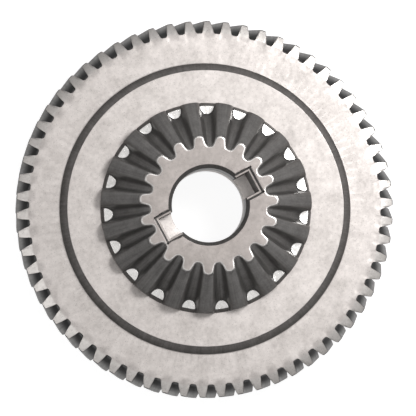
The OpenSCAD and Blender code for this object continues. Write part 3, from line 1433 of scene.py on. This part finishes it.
@dataclass(frozen=True)
class Finish:
    """A finish of the sintered steel.

    Attributes:
        name: The material's name.
        light: Colour of its lighter places.
        dark: Colour of its darker places.
        roughness: Roughness of the lighter and of the darker places.
        metallic: How far the surface reflects as bare metal.
        clouds: Clouds of the mottling per metre.
        contrast: Contrast of the mottling.
        streaked: How far streaks show beside the mottling, from 0 to 1.
        pore_depth: How deep the pores are, in millimetres.
        zones: Rings of the surface that look different.
        pore_colour: Colour of the open pores.
        pore_cover: How far the pores take that colour, from 0 to 1.
        bump: Strength of the relief.
    """

    name: str
    light: Colour
    dark: Colour
    roughness: tuple[float, float]
    metallic: float
    clouds: float
    contrast: float
    streaked: float
    pore_depth: float
    zones: tuple[Zone, ...] = ()
    pore_colour: Colour = (0.09, 0.08, 0.075, 1)
    pore_cover: float = 0.45
    bump: float = 0.6

    def material(self, effects: Effects) -> bpy.types.Material:
        """Builds the material.

        Args:
            effects: The shared shader groups.

        Returns:
            The material.
        """
        made, nodes, shader = new_material(self.name)
        place = nodes.add("ShaderNodeTexCoord").outputs["Object"]

        def group(tree: bpy.types.NodeTree, **inputs: object) -> bpy.types.bpy_prop_collection:
            """Adds a shared group.

            Args:
                tree: The group.
                inputs: What goes into it, besides the place, with _ for each space.

            Returns:
                Its outputs.
            """
            node = nodes.add("ShaderNodeGroup", node_tree=tree)
            for name, value in {"Place": place, **inputs}.items():
                nodes.feed(node.inputs[name.replace("_", " ")], value)
            return node.outputs

        mottling = group(effects.mottling, Clouds_per_Metre=self.clouds, Contrast=self.contrast)
        streaks = group(effects.streaks)
        grain = group(effects.grain)
        tone = nodes.mix(self.streaked, mottling["Tone"], streaks["Tone"])
        colour = nodes.colour(tone, self.dark, self.light)
        rough = nodes.add("ShaderNodeMapRange", {0: tone, 3: self.roughness[1], 4: self.roughness[0]})
        rough, metal = rough.outputs[0], self.metallic
        for zone in self.zones:
            band = group(
                effects.band,
                Inner=zone.inner * MM,
                Outer=zone.outer * MM,
                Low=zone.low * MM,
                High=zone.high * MM,
                Soft_Edge=zone.soft * MM,
            )
            cover = nodes.math("MULTIPLY", band["Mask"], zone.strength)
            shade = tuple(c * d / l for c, d, l in zip(zone.colour, self.dark, self.light))
            colour = nodes.colour(cover, colour, nodes.colour(tone, shade, zone.colour))
            rough = nodes.mix(cover, rough, zone.roughness)
            metal = nodes.mix(cover, metal, zone.metallic)
        pores = nodes.math("MULTIPLY", grain["Pores"], self.pore_cover)
        height = nodes.math("MULTIPLY", grain["Height"], self.pore_depth * MM)
        if self.streaked:
            height = nodes.math("MULTIPLY_ADD", streaks["Height"], self.pore_depth * MM, height)
        bump = nodes.add("ShaderNodeBump", {"Strength": self.bump, "Distance": 1.0, "Height": height})
        nodes.feed(shader.inputs["Base Color"], nodes.colour(pores, colour, self.pore_colour))
        nodes.feed(shader.inputs["Roughness"], rough)
        nodes.feed(shader.inputs["Metallic"], metal)
        nodes.feed(shader.inputs["Normal"], bump.outputs[0])
        return made


POLISHED = (0.96, 0.94, 0.92, 1)
GROUND_TIP = (0.82, 0.78, 0.75, 1)
DULL_HUB = (0.48, 0.43, 0.405, 1)
# Rubbed edge wear with a painted highlight: a bright strip round the edge of the hub face that also
# stands for the light that edge catches.
RUBBED_EDGE_AND_HIGHLIGHT = (0.88, 0.85, 0.82, 1)
# Painted light: lightens the upper part of the step's wall as if light fell on its top, so that its foot
# stays darker, as in shade.
PAINTED_STEP_LIGHT = (0.36, 0.34, 0.33, 1)
# Painted shade: darkens the roots of the rim's gaps all round, where shade falls deep between the teeth.
PAINTED_ROOT_SHADE = (0.03, 0.028, 0.027, 1)

FACE_FINISH = Finish(
    name="sintered_face",
    light=(0.8, 0.745, 0.715, 1),
    dark=(0.53, 0.49, 0.465, 1),
    roughness=(0.42, 0.55),
    metallic=0.55,
    clouds=260,
    contrast=0.95,
    streaked=0.0,
    pore_depth=0.012,
    zones=(
        Zone(18.0, 22.7, 13.8, 15.0, POLISHED, roughness=0.25, metallic=1.0),
        Zone(38.35, 42.0, 8.0, 10.7, GROUND_TIP, roughness=0.32, metallic=0.85),
        Zone(0.0, 17.0, 24.0, 25.5, DULL_HUB, roughness=0.5, metallic=0.5, strength=0.8),
    ),
)

FLANK_FINISH = Finish(
    name="sintered_flank",
    light=(0.26, 0.25, 0.241, 1),
    dark=(0.085, 0.08, 0.077, 1),
    roughness=(0.36, 0.5),
    metallic=0.5,
    clouds=420,
    contrast=0.8,
    streaked=0.3,
    pore_depth=0.01,
    zones=(
        # Rubbed edge wear and painted highlight round the edge of the hub face.
        Zone(9.5, 17.5, 24.82, 25.5, RUBBED_EDGE_AND_HIGHLIGHT, roughness=0.36, metallic=0.95, soft=0.08),
        # Painted light on the upper part of the step's wall.
        Zone(29.4, 31.3, 11.6, 13.4, PAINTED_STEP_LIGHT, roughness=0.45, metallic=0.5, strength=0.6, soft=0.9),
        # Painted shade deep in the rim's gaps.
        Zone(36.6, 39.8, -1.0, 11.0, PAINTED_ROOT_SHADE, roughness=0.6, metallic=0.1, soft=1.1),
    ),
)


@dataclass(frozen=True)
class Lamp:
    """A square soft lamp that faces the gear.

    Attributes:
        name: The lamp's name.
        azimuth: Its direction round the axis, in degrees from +X.
        elevation: Its height above the floor as seen from the gear, in degrees.
        distance: How far away it is, in metres.
        size: The side of its face, in metres.
        power: Its power in watts.
    """

    name: str
    azimuth: float
    elevation: float
    distance: float
    size: float
    power: float

    def place(self) -> None:
        """Puts the lamp in the scene."""
        data = bpy.data.lights.new(self.name, "AREA")
        data.size = self.size
        data.energy = self.power
        lamp = linked(self.name, data)
        up, turn = math.radians(self.elevation), math.radians(self.azimuth)
        away = Vector((math.cos(up) * math.cos(turn), math.cos(up) * math.sin(turn), math.sin(up)))
        lamp.location = away * self.distance
        lamp.rotation_euler = away.to_track_quat("Z", "Y").to_euler()


@dataclass(frozen=True)
class Studio:
    """The camera, the floor, the lamps and the world.

    Angles are in degrees, and lengths in metres.

    Attributes:
        tilt: How far the camera leans from straight above.
        toward: The direction round the axis that it leans to.
        image_up: The direction round the axis that is up in the picture.
        target_z: Height of the point that the camera faces.
        distance: Distance of the camera from that point.
        frame_width: Width of the picture at that point.
        centre_px: Where that point lies in the picture, from its upper left corner.
        image_px: Width of the picture in pixels.
        sensor: Width of the camera's sensor, in its own millimetres.
        clip_start: Distance from the camera at which things start to show.
        floor_colour: Colour of the floor, as it takes light and shadow.
        floor_roughness: Roughness of the floor.
        floor_glow: White that the floor adds where it is seen, reflected or seen through.
        floor_size: Side of the floor.
        floor_drop: How far the floor lies below the gear, so that the two don't flicker.
        world_colour: Colour of the light from all round.
        lamps: The lamps.
    """

    tilt: float = 4.62
    toward: float = 194.9
    image_up: float = 61.7
    target_z: float = 0.0106
    distance: float = 1.0
    frame_width: float = 0.09009
    centre_px: tuple[float, float] = (205.16, 208.67)
    image_px: int = 416
    sensor: float = 36.0
    clip_start: float = 0.05
    floor_colour: Colour = (0.4, 0.4, 0.4, 1)
    floor_roughness: float = 0.9
    floor_glow: float = 0.9
    floor_size: float = 6.0
    floor_drop: float = 0.00002
    world_colour: Colour = (0.05, 0.05, 0.05, 1)
    lamps: tuple[Lamp, ...] = (
        Lamp("Key", azimuth=8, elevation=61, distance=0.29, size=0.09, power=0.41),
        Lamp("Overhead", azimuth=0, elevation=90, distance=0.6, size=0.7, power=1.15),
        Lamp("Left", azimuth=172, elevation=57, distance=0.8, size=0.3, power=0.36),
    )

    def camera(self) -> None:
        """Places the camera of the photograph."""
        data = bpy.data.cameras.new("Camera")
        camera = linked("Camera", data)
        bpy.context.scene.camera = camera
        lean, toward, up_turn = (math.radians(a) for a in (self.tilt, self.toward, self.image_up))
        aside = math.sin(lean)
        back = Vector((aside * math.cos(toward), aside * math.sin(toward), math.cos(lean)))
        right = Vector((math.cos(up_turn), math.sin(up_turn), 0)).cross(back).normalized()
        up = back.cross(right).normalized()
        location = Vector((0, 0, self.target_z)) + back * self.distance
        turned = Matrix((right, up, back)).transposed().to_4x4()
        camera.matrix_world = Matrix.Translation(location) @ turned
        data.sensor_width = self.sensor
        data.lens = self.sensor * self.distance / self.frame_width
        middle = self.image_px / 2
        data.shift_x = (middle - self.centre_px[0]) / self.image_px
        data.shift_y = (self.centre_px[1] - middle) / self.image_px
        data.clip_start = self.clip_start

    def floor(self) -> None:
        """Lays a plain floor that shows white and still takes the gear's shadow."""
        half = self.floor_size / 2
        square = ((-half, -half), (half, -half), (half, half), (-half, half))
        corners = [(x, y, -self.floor_drop) for x, y in square]
        data = bpy.data.meshes.new("Floor")
        data.from_pydata(corners, [], [(0, 1, 2, 3)])
        piece = linked("Floor", data)
        made, nodes, shader = new_material("floor")
        shader.inputs["Base Color"].default_value = self.floor_colour
        shader.inputs["Roughness"].default_value = self.floor_roughness
        shader.inputs["Emission Color"].default_value = (1, 1, 1, 1)
        ray = nodes.add("ShaderNodeLightPath").outputs
        seen = nodes.math("MAXIMUM", ray["Is Camera Ray"], ray["Is Glossy Ray"])
        seen = nodes.math("MAXIMUM", seen, ray["Is Transmission Ray"])
        nodes.feed(shader.inputs["Emission Strength"], nodes.math("MULTIPLY", seen, self.floor_glow))
        data.materials.append(made)

    def light(self) -> None:
        """Places the lamps, the world and the plain view transform."""
        for lamp in self.lamps:
            lamp.place()
        world = bpy.data.worlds.new("World")
        bpy.context.scene.world = world
        world.use_nodes = True
        world.node_tree.nodes["Background"].inputs["Color"].default_value = self.world_colour
        bpy.context.scene.view_settings.view_transform = "Standard"


@dataclass
class MixerGear:
    """The whole gear, dressed as two pieces that stand for the one CAD solid.

    Attributes:
        node: Name of the CAD solid's node.
        rim: The rim gear, which the rest is built inward from.
        repeat: What repeats the teeth and closes both pieces.
    """

    node: str = "mixer_gear"
    rim: RimGear = field(default_factory=RimGear)
    repeat: PolarRepeat = field(default_factory=PolarRepeat)

    def build(self, effects: Effects) -> list[bpy.types.Object]:
        """Builds and dresses both pieces.

        Args:
            effects: The shared shader groups.

        Returns:
            The toothed plate, and the bevel gear with its hub.
        """
        plate = Plate(self.rim)
        bevel = BevelGear(plate)
        hub = Hub(bevel)
        finishes = [finish.material(effects) for finish in (FACE_FINISH, FLANK_FINISH)]
        tree = self.repeat.tree()
        parts = (
            ("toothed_plate", plate.core(), self.rim.tooth(), self.rim.teeth),
            ("bevel_gear", hub.core(), bevel.tooth(), bevel.teeth),
        )
        pieces = [self.repeat.make(tree, *part, finishes) for part in parts]
        for piece in pieces:
            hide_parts(self.node)
            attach(piece, "root")
        return pieces


def main() -> None:
    """Builds the gear and its studio."""
    logging.basicConfig(level=logging.INFO, format="%(name)s: %(message)s")
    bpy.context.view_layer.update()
    studio = Studio()
    studio.camera()
    for piece in MixerGear().build(Effects()):
        LOG.info("%s has %d faces", piece.name, len(piece.data.polygons))
    studio.floor()
    studio.light()


if __name__ == "__main__":
    main()
